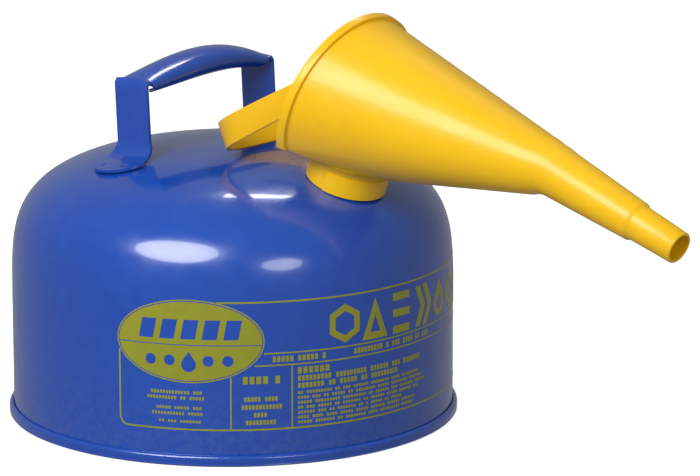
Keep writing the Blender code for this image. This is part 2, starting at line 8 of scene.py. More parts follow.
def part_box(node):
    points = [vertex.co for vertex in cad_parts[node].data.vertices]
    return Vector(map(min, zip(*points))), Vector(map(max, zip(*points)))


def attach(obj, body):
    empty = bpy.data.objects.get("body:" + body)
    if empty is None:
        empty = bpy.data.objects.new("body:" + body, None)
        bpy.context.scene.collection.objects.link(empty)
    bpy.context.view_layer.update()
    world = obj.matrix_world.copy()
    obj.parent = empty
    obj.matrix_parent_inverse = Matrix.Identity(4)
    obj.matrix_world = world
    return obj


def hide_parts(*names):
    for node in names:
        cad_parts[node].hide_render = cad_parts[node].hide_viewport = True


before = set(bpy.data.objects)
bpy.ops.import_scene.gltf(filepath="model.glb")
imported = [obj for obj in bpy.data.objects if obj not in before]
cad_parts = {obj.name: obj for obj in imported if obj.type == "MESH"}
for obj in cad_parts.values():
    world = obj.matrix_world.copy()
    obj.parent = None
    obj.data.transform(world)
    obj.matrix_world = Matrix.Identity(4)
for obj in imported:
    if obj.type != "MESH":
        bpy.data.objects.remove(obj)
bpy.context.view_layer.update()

# ---------------------------------------------------------------- sizes, in metres, as in the CAD

shell_low, shell_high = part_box("body_shell")
CAN_X = (shell_low.x + shell_high.x) / 2
RIM_R = 0.142875
RIM_H = 0.0072
WALL_R = 0.1400
SHEET = 0.0010
SHOULDER_Z = 0.0652
DOME_H = 0.1058
SIDE_POWER = 2.54
CROWN_POWER = 4.69
PAN_RECESS = 0.0060
PAN_RING = (0.1080, 0.1050, 0.0990, 0.0960)
PAN_RING_DEPTH = 0.0014
SEAM_FOLD = 0.0018
GAP = 0.0003

SPOUT_X = 0.0940
SPOUT_TILT = math.radians(19.0)
NECK_R = 0.0200
NECK_TOP = 0.0280
NECK_LIP_R = 0.0215
NECK_DEPTH = 0.0100
NECK_FLANGE = 0.0030
LID_R = 0.0228
LID_TOP = 0.0323
LID_SKIRT_T = 0.0009
LID_PLATE_T = 0.0012
LID_SKIRT = 0.0010
LID_GROOVE = (0.0205, 0.0198, 0.0178, 0.0171)
LID_GROOVE_DEPTH = 0.0003
RIVET_HOLE_R = 0.0027
HINGE_BACK = 0.0280
HINGE_UP = 0.0280
COIL_R = 0.0025
WIRE_R = 0.00045
COIL_HALF = 0.0030
COIL_TURNS = 4
WEB_LEG = (-0.0225, -COIL_HALF, 0.0215)
LEVER_LEG = (-0.0370, COIL_HALF, 0.0275)

HANDLE_X = -0.0282
HANDLE_LEAN = 0.0027
STRAP_W = 0.0272
STRAP_T = 0.0020
LEG_Y = 0.0590
CORNER_Z = 0.2165
ARCH_RISE = 0.0110
ARCH_SKEW = 0.0032
GRIP_FLAT_Y = 0.0600
GRIP_ROUND_Y = 0.0480
GRIP_DEPTH = 0.0152
GRIP_END_THINNING = 0.5
GRIP_CURL = math.radians(158.4)
FOOT_BEND_R = 0.0090
FOOT_LIFT = 0.0021
FOOT_SPREAD = 0.0025
PAD_R = 0.0200
PAD_Y = 0.0680
PAD_START_Y = 0.0700
PAD_SPREAD = 0.0040
WELDS = ((-0.0365, 0.0690), (-0.0216, 0.0669), (-0.0341, 0.0812), (-0.0190, 0.0790))
WELD_R = 0.0021
WELD_DEPTH = 0.0007

CONE_START = Vector((0.16124, 0.0, 0.2059))
CONE_R = 0.0382
CONE_FALL = math.radians(9.1)
CONE_SLOPE = math.tan(math.radians(12.6))
CONE_REAR = 0.0950
BEND_AT = 0.0954
OUTLET_FALL = math.radians(20.0)
OUTLET_R = 0.0165
STEP_AT = 0.0660
STEP_R = 0.0124
NOZZLE_R = 0.0111
NOZZLE_END_AT = 0.1001
NOZZLE_END_R = 0.0100
FUNNEL_WALL = 0.0020
MOUTH = Vector((0.0929, 0.0, 0.2178))
MOUTH_SLOPE = math.radians(68.0)
RIM_BEAD = 0.0024
FLOOR_UP = 0.0205
FLOOR_BORE_R = 0.0240
FLOOR_CUT = (0.010, 0.034)
SLOT_HALF = 0.0095
COLLAR_BORE_R = 0.0236
COLLAR_R = 0.0249
COLLAR_FRONT_R = 0.0260
COLLAR_LOW = -0.0006
COLLAR_FLARE_AT = 0.0050
COLLAR_FLARE = 0.0072

LOOP_HALF_W = 0.0476
LOOP_POWER = 2.4
LOOP_BEND = 0.55
LOOP_T = 0.0024
LOOP_REAR_LOW = (0.0200, 0.1722)
LOOP_REAR_HIGH = (0.0095, 0.1876)
LOOP_MOUTH_LOW = (0.0765, 0.2025)
LOOP_MOUTH_HIGH = (0.0875, 0.2266)
LOOP_END_LOW = 1.27
LOOP_END_HIGH = 1.15

CAN_SIDES = 224
FUNNEL_SIDES = 120
SPOUT_SIDES = 72
COLLAR_SIDES = 96
STRAP_POINTS = 41


def dome_height(radius):
    """The dome's outside height at a distance from its axis."""
    share = min(radius / WALL_R, 1.0)
    return SHOULDER_Z + DOME_H * (1.0 - share**SIDE_POWER) ** (1.0 / CROWN_POWER)


def wall_radius(height):
    """The shell's outside radius at a height."""
    share = min(max((height - SHOULDER_Z) / DOME_H, 0.0), 1.0)
    return WALL_R * (1.0 - share**CROWN_POWER) ** (1.0 / SIDE_POWER)


CAN = Matrix.Translation((CAN_X, 0.0, 0.0))
SPOUT = (
    CAN
    @ Matrix.Translation((SPOUT_X, 0.0, dome_height(SPOUT_X)))
    @ Matrix.Rotation(SPOUT_TILT, 4, "Y")
)

# ---------------------------------------------------------------- mesh helpers


def add_mesh(name, mesh_builder, place=CAN, sharp=35.0):
    """Turn a bmesh into an object in the row frame, smooth but for its sharp edges."""
    bmesh.ops.transform(mesh_builder, matrix=place, verts=mesh_builder.verts)
    bmesh.ops.remove_doubles(mesh_builder, verts=mesh_builder.verts, dist=1e-7)
    bmesh.ops.recalc_face_normals(mesh_builder, faces=mesh_builder.faces)
    mesh = bpy.data.meshes.new(name)
    mesh_builder.to_mesh(mesh)
    mesh_builder.free()
    mesh.shade_smooth()
    mesh.set_sharp_from_angle(angle=math.radians(sharp))
    made = bpy.data.objects.new(name, mesh)
    bpy.context.scene.collection.objects.link(made)
    return made


def combine(made, mesh_builder, operation="DIFFERENCE", place=CAN):
    """Cut a closed mesh from an object, or join it on."""
    tool = add_mesh(made.name + "_tool", mesh_builder, place)
    boolean = made.modifiers.new("cut", "BOOLEAN")
    boolean.operation = operation
    boolean.solver = "EXACT"
    boolean.object = tool
    settle(made)
    bpy.data.objects.remove(tool)


def settle(made, sharp=35.0):
    """Apply the modifiers, so that the finished mesh is the piece's own."""
    graph = bpy.context.evaluated_depsgraph_get()
    graph.update()
    mesh = bpy.data.meshes.new_from_object(made.evaluated_get(graph))
    made.modifiers.clear()
    made.data = mesh
    mesh.shade_smooth()
    mesh.set_sharp_from_angle(angle=math.radians(sharp))


def round_edges(made, width, segments=2, angle=35.0):
    """Round the edges that are sharper than an angle in degrees."""
    bevel = made.modifiers.new("edges", "BEVEL")
    bevel.width = width
    bevel.segments = segments
    bevel.limit_method = "ANGLE"
    bevel.angle_limit = math.radians(angle)
    bevel.use_clamp_overlap = True
    settle(made, 50.0)


def loft(rings, closed=False):
    """Skin a run of rings, and cap its ends unless it closes on itself."""
    mesh = bmesh.new()
    rows = [[mesh.verts.new(point) for point in ring] for ring in rings]
    sides = len(rings[0])
    pairs = list(zip(rows[:-1], rows[1:]))
    if closed:
        pairs.append((rows[-1], rows[0]))
    for low, high in pairs:
        for i in range(sides):
            j = (i + 1) % sides
            mesh.faces.new((low[i], low[j], high[j], high[i]))
    if not closed:
        mesh.faces.new(rows[0][::-1])
        mesh.faces.new(rows[-1])
    return mesh


def turn(profile, sides, start=0.0, sweep=360.0):
    """Turn a closed outline of (radius, height) points about Z."""
    whole = sweep >= 360.0
    rings = []
    for i in range(sides if whole else sides + 1):
        angle = math.radians(start + sweep * i / sides)
        rings.append([(r * math.cos(angle), r * math.sin(angle), z) for r, z in profile])
    mesh = loft(rings, closed=whole)
    bmesh.ops.remove_doubles(mesh, verts=mesh.verts, dist=1e-6)
    bmesh.ops.dissolve_degenerate(mesh, edges=mesh.edges, dist=1e-7)
    return mesh


def disc(radius, low, high):
    """The outline that turns into a solid disc."""
    return [(0.0, low), (radius, low), (radius, high), (0.0, high)]


def box(low, high):
    mesh = bmesh.new()
    size = Vector(high) - Vector(low)
    place = Matrix.Translation((Vector(high) + Vector(low)) / 2) @ Matrix.Diagonal((*size, 1.0))
    bmesh.ops.create_cube(mesh, size=1.0, matrix=place)
    return mesh


def keep_side(mesh, point, normal):
    """Cut a closed mesh by a plane, keep what lies behind its normal and close the cut."""
    everything = mesh.verts[:] + mesh.edges[:] + mesh.faces[:]
    bmesh.ops.bisect_plane(
        mesh, geom=everything, dist=1e-7, plane_co=point, plane_no=normal, clear_outer=True
    )
    bmesh.ops.holes_fill(mesh, edges=[edge for edge in mesh.edges if edge.is_boundary])
    return mesh


def soften(profile, radius, steps=3):
    """Round the corners of a closed outline, each by at most the radius."""
    out = []
    count = len(profile)
    for i, corner in enumerate(profile):
        here = Vector(corner)
        before, after = Vector(profile[i - 1]), Vector(profile[(i + 1) % count])
        reach = min(radius, (before - here).length * 0.45, (after - here).length * 0.45)
        if here.x < 1e-6 or reach < 1e-6:
            out.append(tuple(here))
            continue
        a = here + (before - here).normalized() * reach
        b = here + (after - here).normalized() * reach
        for k in range(steps + 1):
            t = k / steps
            point = a * (1 - t) ** 2 + here * 2 * t * (1 - t) + b * t**2
            out.append(tuple(point))
    return out


# ---------------------------------------------------------------- materials


class Paint:
    """A node material with helpers that name what they add."""

    def __init__(self, name, colour, roughness, metallic=0.0, coat=0.0, coat_roughness=0.05):
        self.material = bpy.data.materials.new(name)
        self.material.use_nodes = True
        self.tree = self.material.node_tree
        self.shader = self.tree.nodes["Principled BSDF"]
        self.colour = self.rgb(colour)
        self.shader.inputs["Base Color"].default_value = (*colour, 1.0)
        self.shader.inputs["Roughness"].default_value = roughness
        self.shader.inputs["Metallic"].default_value = metallic
        self.shader.inputs["Coat Weight"].default_value = coat
        self.shader.inputs["Coat Roughness"].default_value = coat_roughness
        self.height = None
        self.coords = self.tree.nodes.new("ShaderNodeTexCoord").outputs["Object"]

    def link(self, source, target):
        self.tree.links.new(source, target)

    def rgb(self, colour):
        node = self.tree.nodes.new("ShaderNodeRGB")
        node.outputs[0].default_value = (*colour, 1.0)
        return node.outputs[0]

    def stretched(self, scale):
        node = self.tree.nodes.new("ShaderNodeMapping")
        node.inputs["Scale"].default_value = scale
        self.link(self.coords, node.inputs["Vector"])
        return node.outputs["Vector"]

    def noise(self, scale, detail=2.0, rough=0.5, coords=None):
        node = self.tree.nodes.new("ShaderNodeTexNoise")
        node.inputs["Scale"].default_value = scale
        node.inputs["Detail"].default_value = detail
        node.inputs["Roughness"].default_value = rough
        self.link(coords or self.coords, node.inputs["Vector"])
        return node.outputs["Fac"]

    def spots(self, scale):
        node = self.tree.nodes.new("ShaderNodeTexVoronoi")
        node.inputs["Scale"].default_value = scale
        self.link(self.coords, node.inputs["Vector"])
        return node.outputs["Distance"]

    def ranged(self, value, low, high, to_low=0.0, to_high=1.0):
        """Map a value from one range to another, and hold it at the ends."""
        node = self.tree.nodes.new("ShaderNodeMapRange")
        sockets = ("From Min", "From Max", "To Min", "To Max")
        for socket, number in zip(sockets, (low, high, to_low, to_high)):
            node.inputs[socket].default_value = number
        self.link(value, node.inputs["Value"])
        return node.outputs["Result"]

    def maths(self, operation, a, b):
        node = self.tree.nodes.new("ShaderNodeMath")
        node.operation = operation
        for i, value in enumerate((a, b)):
            if isinstance(value, (int, float)):
                node.inputs[i].default_value = value
            else:
                self.link(value, node.inputs[i])
        return node.outputs[0]

    def tint(self, amount, colour, most=1.0):
        """Mix towards a colour by an amount that varies over the surface."""
        node = self.tree.nodes.new("ShaderNodeMix")
        node.data_type = "RGBA"
        factor = self.maths("MULTIPLY", amount, most)
        self.link(factor, node.inputs["Factor"])
        self.link(self.colour, node.inputs["A"])
        node.inputs["B"].default_value = (*colour, 1.0)
        self.colour = node.outputs["Result"]

    def mottle(self, colour, most, scale, detail, low, high, rough=0.5):
        """Tint in patches: none where the noise is under low, the most where it is over high."""
        self.tint(self.ranged(self.noise(scale, detail, rough), low, high), colour, most)

    def roughness(self, scale, detail, low, high, smoothest, roughest, rough=0.5):
        """Vary the roughness with a noise."""
        noise = self.noise(scale, detail, rough)
        value = self.ranged(noise, low, high, smoothest, roughest)
        self.link(value, self.shader.inputs["Roughness"])

    def relief(self, value, depth):
        """Add height, in metres, to the bump."""
        scaled = self.maths("MULTIPLY", value, depth)
        self.height = scaled if self.height is None else self.maths("ADD", self.height, scaled)

    def finish(self):
        self.link(self.colour, self.shader.inputs["Base Color"])
        if self.height is not None:
            bump = self.tree.nodes.new("ShaderNodeBump")
            bump.inputs["Distance"].default_value = 1.0
            self.link(self.height, bump.inputs["Height"])
            self.link(bump.outputs["Normal"], self.shader.inputs["Normal"])
        return self.material


def worn_edges(paint):
    """How far a place is an edge that has rubbed, in ragged patches."""
    geometry = paint.tree.nodes.new("ShaderNodeNewGeometry")
    ragged = paint.ranged(paint.noise(260.0, 5.0, 0.65), 0.42, 0.62)
    edge = paint.ranged(geometry.outputs["Pointiness"], 0.53, 0.60)
    return paint.maths("MULTIPLY", edge, ragged)


def blue_enamel(name, ripple=1.0):
    """Sprayed gloss enamel: slow ripples of spun steel, orange peel, dust and small scuffs."""
    paint = Paint(name, (0.005, 0.064, 0.420), 0.2, coat=0.6, coat_roughness=0.04)
    paint.shader.inputs["Specular IOR Level"].default_value = 0.65
    paint.mottle((0.005, 0.056, 0.385), 0.7, 7.0, 3.0, 0.35, 0.65)
    paint.mottle((0.014, 0.088, 0.480), 0.35, 90.0, 4.0, 0.45, 0.75, 0.6)
    paint.mottle((0.160, 0.230, 0.480), 0.35, 420.0, 3.0, 0.70, 0.78, 0.7)
    chips = paint.ranged(paint.spots(46.0), 0.0, 0.035, 1.0, 0.0)
    patchy = paint.ranged(paint.noise(11.0, 2.0), 0.56, 0.60)
    paint.tint(paint.maths("MULTIPLY", chips, patchy), (0.330, 0.380, 0.520), 0.35)
    paint.tint(worn_edges(paint), (0.060, 0.110, 0.330), 0.5)
    paint.roughness(38.0, 5.0, 0.3, 0.75, 0.15, 0.34, 0.6)
    paint.relief(paint.noise(520.0, 2.0), 0.000003)
    paint.relief(paint.noise(16.0, 1.0), 0.00016 * ripple)
    paint.relief(paint.noise(60.0, 2.0), 0.00001 * ripple)
    return paint.finish()


def yellow_plastic(name):
    """Moulded polyethylene: waxy, faintly mottled, with fine draw marks and a few scuffs."""
    paint = Paint(name, (0.930, 0.540, 0.003), 0.36, coat=0.2, coat_roughness=0.16)
    paint.shader.inputs["Specular IOR Level"].default_value = 0.4
    paint.mottle((0.900, 0.480, 0.003), 0.6, 18.0, 3.0, 0.35, 0.7)
    paint.mottle((0.980, 0.660, 0.030), 0.5, 210.0, 4.0, 0.55, 0.8, 0.6)
    paint.mottle((0.560, 0.270, 0.010), 0.35, 34.0, 6.0, 0.62, 0.80, 0.7)
    paint.roughness(46.0, 4.0, 0.3, 0.75, 0.30, 0.46, 0.6)
    paint.relief(paint.noise(60.0, 3.0, 0.6, paint.stretched((0.25, 1.0, 1.0))), 0.00006)
    paint.relief(paint.noise(900.0, 2.0), 0.000008)
    return paint.finish()


def print_ink(name):
    """Screen-printed olive ink, a little uneven where it went on thin."""
    paint = Paint(name, (0.300, 0.305, 0.016), 0.34, coat=0.3, coat_roughness=0.1)
    paint.mottle((0.245, 0.258, 0.018), 0.8, 55.0, 4.0, 0.35, 0.75, 0.65)
    paint.mottle((0.120, 0.150, 0.140), 0.6, 620.0, 3.0, 0.62, 0.72, 0.7)
    paint.roughness(120.0, 3.0, 0.3, 0.7, 0.28, 0.42)
    paint.relief(paint.noise(700.0, 2.0), 0.000005)
    return paint.finish()


def metal(name, colour, roughness, dark, along=(1.0, 1.0, 1.0)):
    """Plated or plain metal with fine draw marks, dull patches and rubbed edges."""
    paint = Paint(name, colour, roughness, metallic=1.0)
    paint.mottle(dark, 0.7, 120.0, 5.0, 0.4, 0.75, 0.65)
    rubbed = tuple(min(share * 1.35, 0.95) for share in colour)
    paint.tint(worn_edges(paint), rubbed, 0.6)
    paint.roughness(300.0, 4.0, 0.3, 0.7, roughness * 0.8, roughness * 1.4, 0.6)
    paint.relief(paint.noise(700.0, 2.0, 0.5, paint.stretched(along)), 0.00001)
    return paint.finish()


def woven_wire(name):
    """Fine brass gauze, drawn as crossed wires with painted shade in the gaps between them."""
    paint = Paint(name, (0.66, 0.46, 0.20), 0.4, metallic=1.0)
    waves = []
    for direction in ("Z", "DIAGONAL"):
        node = paint.tree.nodes.new("ShaderNodeTexWave")
        node.bands_direction = direction
        node.inputs["Scale"].default_value = 260.0
        paint.link(paint.coords, node.inputs["Vector"])
        waves.append(node.outputs["Fac"])
    weave = paint.maths("MAXIMUM", *waves)
    # Painted shade: the gaps between the wires are tinted dark brown, in place of the shade seen
    # through them.
    paint.tint(paint.ranged(weave, 0.35, 0.75, 1.0, 0.0), (0.10, 0.065, 0.03), 0.85)
    paint.mottle((0.35, 0.24, 0.11), 0.6, 90.0, 4.0, 0.45, 0.75)
    paint.relief(weave, 0.00012)
    return paint.finish()


def rubber(name):
    """Black rubber, greyed by handling."""
    paint = Paint(name, (0.018, 0.018, 0.020), 0.62)
    paint.mottle((0.075, 0.072, 0.070), 0.6, 160.0, 5.0, 0.5, 0.8, 0.7)
    paint.roughness(80.0, 4.0, 0.3, 0.7, 0.5, 0.75)
    paint.relief(paint.noise(900.0, 3.0), 0.00002)
    return paint.finish()


ENAMEL = blue_enamel("blue_enamel")
HANDLE_ENAMEL = blue_enamel("handle_enamel", ripple=0.25)
PLASTIC = yellow_plastic("yellow_poly")
INK = print_ink("label_ink")
STEEL = metal("plated_steel", (0.60, 0.60, 0.58), 0.28, (0.36, 0.35, 0.33), along=(1.0, 0.2, 1.0))
SPRING = metal("spring_wire", (0.42, 0.42, 0.42), 0.32, (0.22, 0.21, 0.20))
BRASS = metal("plain_brass", (0.72, 0.50, 0.21), 0.27, (0.42, 0.27, 0.10))
GAUZE = woven_wire("brass_gauze")
RUBBER = rubber("seal_rubber")


def place_piece(made, material, body, slot, *nodes):
    """Give a piece its look, the body it rides on and the nodes it replaces. The slot argument is not
    used.
    """
    made.data.materials.clear()
    made.data.materials.append(material)
    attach(made, body)
    if nodes:
        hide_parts(*nodes)


# ---------------------------------------------------------------- the tank


def dome_outline(inset, steps=64):
    """The dome's outline from the shoulder to the axis, set in from the outside."""
    points = []
    for i in range(steps + 1):
        angle = math.pi / 2 * (i / steps) ** 2
        radius = (WALL_R - inset) * max(math.cos(angle), 0.0) ** (2 / SIDE_POWER)
        height = (DOME_H - inset) * math.sin(angle) ** (2 / CROWN_POWER)
        points.append((radius if i < steps else 0.0, SHOULDER_Z + height))
    return points


def build_shell():
    """The drawn shell, with the hole that the neck goes through."""
    foot = RIM_H * 0.25
    outside = [(WALL_R, foot), *dome_outline(0.0)]
    inside = [(WALL_R - SHEET, foot), *dome_outline(SHEET, 20)]
    shell = add_mesh("tank_shell", turn(outside + inside[::-1], CAN_SIDES))
    combine(shell, turn(disc(NECK_R + GAP, -0.02, 0.02), SPOUT_SIDES), place=SPOUT)
    place_piece(shell, ENAMEL, "can", "blue_enamel", "body_shell")


def build_pan():
    """The pan: a double seam rolled round the shell, and a raised ring pressed in its floor."""
    slot_in, slot_out = WALL_R - SHEET - GAP, WALL_R + GAP
    seam_in = slot_in - SEAM_FOLD
    top = PAN_RECESS + SHEET
    roll = (RIM_R - slot_out) * 0.9
    outer = []
    for k in range(9):
        a = math.pi / 2 * (1 - k / 8)
        outer.append((RIM_R - roll + roll * math.cos(a), RIM_H - roll + roll * math.sin(a)))
    profile = [
        (0.0, top),
        (slot_in, top),
        (slot_in, RIM_H * 0.2),
        (slot_out, RIM_H * 0.2),
        (slot_out, RIM_H - 0.0004),
        *outer,
        (RIM_R, RIM_H * 0.40),
        (RIM_R - 0.0002, RIM_H * 0.32),
        (RIM_R - 0.0002, RIM_H * 0.24),
        (RIM_R, RIM_H * 0.16),
        (RIM_R - 0.0006, 0.0004),
        (RIM_R - 0.0015, 0.0),
        (seam_in + 0.0012, 0.0),
        (seam_in + 0.0003, 0.0003),
        (seam_in, 0.0012),
        (seam_in - 0.0006, PAN_RECESS),
        (PAN_RING[0], PAN_RECESS),
        (PAN_RING[1], PAN_RECESS - PAN_RING_DEPTH),
        (PAN_RING[2], PAN_RECESS - PAN_RING_DEPTH),
        (PAN_RING[3], PAN_RECESS),
        (0.0, PAN_RECESS),
    ]
    pan = add_mesh("base_pan", turn(profile, CAN_SIDES))
    place_piece(pan, ENAMEL, "can", "blue_enamel", "bottom_pan")


# ---------------------------------------------------------------- the handle


def spread():
    """Places across the strap, from -1 at one edge to 1 at the other."""
    return [2 * i / (STRAP_POINTS - 1) - 1 for i in range(STRAP_POINTS)]


def handle_x(height):
    """Where the middle of the leaning strap is at a height."""
    foot = dome_height(math.hypot(HANDLE_X, LEG_Y))
    return HANDLE_X - HANDLE_LEAN * min(max((height - foot) / (CORNER_Z - foot), 0.0), 1.0)


def grip_section(y):
    """A row across the grip, flat at the corners and curled over in between."""
    u = y / LEG_Y
    top = CORNER_Z + (ARCH_RISE + ARCH_SKEW * u) * (1 - u**2)
    share = min(max((GRIP_FLAT_Y - abs(y)) / (GRIP_FLAT_Y - GRIP_ROUND_Y), 0.0), 1.0)
    curl = max(share * share * (3 - 2 * share) * GRIP_CURL, 0.02)
    radius = STRAP_W / 2 / math.sin(min(curl, math.pi / 2))
    flatten = GRIP_DEPTH / STRAP_W * (1 - GRIP_END_THINNING * u**2)
    points = []
    for s in spread():
        x = handle_x(CORNER_Z) + radius * math.sin(curl * s)
        points.append(Vector((x, y, top - radius * (1 - math.cos(curl * s)) * flatten)))
    return points


def weld_dent(x, y):
    """Depth of the spot-weld dimples at a place on a foot."""
    depth = 0.0
    for weld_x, weld_y in WELDS:
        apart = math.hypot(x - weld_x, abs(y) - weld_y)
        depth += WELD_DEPTH * math.exp(-((apart / WELD_R) ** 2))
    return depth


def pad_row(y, half, lift):
    """A row across the foot, which lies on the dome where the lift is none."""
    row = []
    for s in spread():
        x = HANDLE_X + half * s
        centre = dome_height(math.hypot(HANDLE_X, y))
        here = dome_height(math.hypot(x, y))
        blend = 1 - min(lift / FOOT_BEND_R, 1.0)
        level = centre + (here - centre) * blend + lift + FOOT_LIFT
        row.append(Vector((x, y, level - weld_dent(x, y) * blend)))
    return row


def leg_rows(side):
    """Rows from the top of a leg down, round the bend and out to the end of the foot."""
    half = STRAP_W / 2
    foot_z = dome_height(math.hypot(HANDLE_X, LEG_Y)) + FOOT_LIFT
    rows = []
    top, low = CORNER_Z - 0.0020, foot_z + FOOT_BEND_R
    for k in range(13):
        z = top + (low - top) * k / 12
        rows.append([Vector((handle_x(z) + half * s, side * LEG_Y, z)) for s in spread()])
    for k in range(1, 7):
        a = math.radians(12.0 * k)
        y = LEG_Y + FOOT_BEND_R * (1 - math.cos(a))
        rows.append(pad_row(side * y, half + 0.002 * a, FOOT_BEND_R * (1 - math.sin(a))))
    pad_end_y = PAD_Y + PAD_R - 0.0001
    count = 34
    for k in range(count + 1):
        y = PAD_START_Y + (pad_end_y - PAD_START_Y) * (1 - (1 - k / count) ** 1.6)
        pad_half = math.sqrt(PAD_R**2 - (y - PAD_Y) ** 2)
        widen = min((y - LEG_Y - FOOT_BEND_R) / 0.004, 1.0)
        foot_half = half + FOOT_SPREAD + PAD_SPREAD * widen
        rows.append(pad_row(side * y, min(foot_half, pad_half), 0.0))
    return rows


def build_handle():
    """One strap: a foot and a leg at each end and the curled grip between them."""
    steps = 120
    reach = LEG_Y - 0.0015
    grip = [grip_section(reach * (2 * i / steps - 1)) for i in range(steps + 1)]
    rows = leg_rows(-1)[::-1] + grip + leg_rows(1)
    mesh = bmesh.new()
    grid = [[mesh.verts.new(point) for point in row] for row in rows]
    for near, far in zip(grid[:-1], grid[1:]):
        for i in range(STRAP_POINTS - 1):
            mesh.faces.new((near[i], near[i + 1], far[i + 1], far[i]))
    handle = add_mesh("carry_handle", mesh, sharp=60.0)
    thicken = handle.modifiers.new("sheet", "SOLIDIFY")
    thicken.thickness = STRAP_T
    thicken.offset = 0.0
    settle(handle, 50.0)
    round_edges(handle, 0.0006, 3, 60.0)
    place_piece(handle, HANDLE_ENAMEL, "can", "blue_enamel", "handle_strap")


# ---------------------------------------------------------------- the spout and its lid


def build_neck():
    """The neck, with a flange that rests on the dome and a rolled lip."""
    bore = NECK_R - SHEET
    profile = [
        (bore, -NECK_DEPTH),
        (NECK_R, -NECK_DEPTH),
        (NECK_R, GAP),
        (NECK_R + NECK_FLANGE, GAP),
        (NECK_R + NECK_FLANGE, GAP + SHEET),
        (NECK_R, GAP + 2 * SHEET),
        (NECK_R, NECK_TOP - 0.0030),
        (NECK_LIP_R, NECK_TOP - 0.0022),
        (NECK_LIP_R, NECK_TOP - 0.0008),
        (NECK_LIP_R - 0.0008, NECK_TOP),
        (bore + 0.0006, NECK_TOP),
        (bore, NECK_TOP - 0.0006),
    ]
    neck = add_mesh("filler_neck", turn(soften(profile, 0.0004), SPOUT_SIDES), SPOUT, 50.0)
    place_piece(neck, STEEL, "can", "bare_steel", "spout_neck")


def build_lid():
    """The pressed cap, with a shallow ring grooved into its top."""
    plate_low = LID_TOP - LID_PLATE_T
    skirt_in, skirt_low = LID_R - LID_SKIRT_T, NECK_TOP - LID_SKIRT
    groove_low = LID_TOP - LID_GROOVE_DEPTH
    profile = [
        (RIVET_HOLE_R, plate_low),
        (skirt_in, plate_low),
        (skirt_in, skirt_low),
        (LID_R, skirt_low),
        (LID_R, LID_TOP - LID_SKIRT_T),
        (skirt_in, LID_TOP),
        (LID_GROOVE[0], LID_TOP),
        (LID_GROOVE[1], groove_low),
        (LID_GROOVE[2], groove_low),
        (LID_GROOVE[3], LID_TOP),
        (RIVET_HOLE_R, LID_TOP),
    ]
    lid = add_mesh("lid_shell", turn(soften(profile, 0.0005), SPOUT_SIDES), SPOUT, 50.0)
    place_piece(lid, STEEL, "lid", "bare_steel", "lid_cap")


def wire(points, radius, sides=10):
    """A round wire through the points."""
    across = Vector((0.0, 0.0, 1.0))
    rings = []
    for i, point in enumerate(points):
        ahead = (points[min(i + 1, len(points) - 1)] - points[max(i - 1, 0)]).normalized()
        across = (across - ahead * across.dot(ahead)).normalized()
        side = ahead.cross(across)
        angles = [math.tau * k / sides for k in range(sides)]
        rings.append([point + radius * (across * math.cos(a) + side * math.sin(a)) for a in angles])
    return loft(rings)


def coil_point(share):
    """A point of the coil, from its web leg (0) to its lever leg (1)."""
    angle = -math.pi / 2 + math.tau * COIL_TURNS * share
    x = -HINGE_BACK + COIL_R * math.cos(angle)
    return Vector((x, -COIL_HALF + 2 * COIL_HALF * share, HINGE_UP + COIL_R * math.sin(angle)))


def build_spring():
    """The torsion spring: coil and web leg stay on the can, and the lever leg turns with the lid."""
    steps = 96
    turns = [coil_point(i / steps) for i in range(steps + 1)]
    coil = add_mesh("spring_coil", wire([Vector(WEB_LEG), *turns], WIRE_R), SPOUT, 60.0)
    place_piece(coil, SPRING, "can", "spring_steel", "lid_spring")
    start = coil_point(1.0) + Vector((0.0, 2.4 * WIRE_R, 0.0))
    leg = add_mesh("spring_leg", wire([start, Vector(LEVER_LEG)], WIRE_R), SPOUT, 60.0)
    place_piece(leg, SPRING, "lid", "spring_steel")


# ---------------------------------------------------------------- the funnel


def axis_point(start, fall, along, out, angle):
    """A point at a distance along and out from an axis that falls by an angle."""
    ahead = Vector((math.cos(fall), 0.0, -math.sin(fall)))
    up = Vector((math.sin(fall), 0.0, math.cos(fall)))
    outward = up * math.cos(angle) + Vector((0, 1, 0)) * math.sin(angle)
    return start + ahead * along + outward * out


def funnel_rings(offset, end_past=0.0, rounded=False):
    """Rings down the cone, round the bend and out along the stepped nozzle, all offset alike."""
    bend = axis_point(CONE_START, CONE_FALL, BEND_AT, 0.0, 0.0)
    blend = 0.0090
    cone_end = BEND_AT - blend
    middle = (CONE_FALL + OUTLET_FALL) / 2
    quarter = (OUTLET_FALL - CONE_FALL) / 4
    end_r = CONE_R - cone_end * CONE_SLOPE
    stations = [
        (CONE_START, CONE_FALL, -CONE_REAR, CONE_R + CONE_REAR * CONE_SLOPE),
        (CONE_START, CONE_FALL, 0.0, CONE_R),
        (CONE_START, CONE_FALL, cone_end, end_r),
        (bend, CONE_FALL + quarter, -blend * 0.5, (end_r + OUTLET_R) / 2),
        (bend, middle, 0.0, OUTLET_R),
        (bend, OUTLET_FALL - quarter, blend * 0.5, OUTLET_R - 0.0004),
        (bend, OUTLET_FALL, blend, OUTLET_R - 0.0008),
        (bend, OUTLET_FALL, STEP_AT - 0.0012, STEP_R + 0.0001),
        (bend, OUTLET_FALL, STEP_AT, STEP_R),
        (bend, OUTLET_FALL, STEP_AT + 0.0010, STEP_R - 0.0002),
        (bend, OUTLET_FALL, STEP_AT + 0.0022, NOZZLE_R + 0.0002),
        (bend, OUTLET_FALL, STEP_AT + 0.0034, NOZZLE_R),
        (bend, OUTLET_FALL, NOZZLE_END_AT - 0.0008 + end_past, NOZZLE_END_R + 0.00003),
    ]
    end_inset = 0.0005 if rounded else 0.0
    stations.append((bend, OUTLET_FALL, NOZZLE_END_AT + end_past, NOZZLE_END_R - end_inset))
    angles = [math.tau * i / FUNNEL_SIDES for i in range(FUNNEL_SIDES)]
    return [[axis_point(p, f, along, r + offset, a) for a in angles] for p, f, along, r in stations]


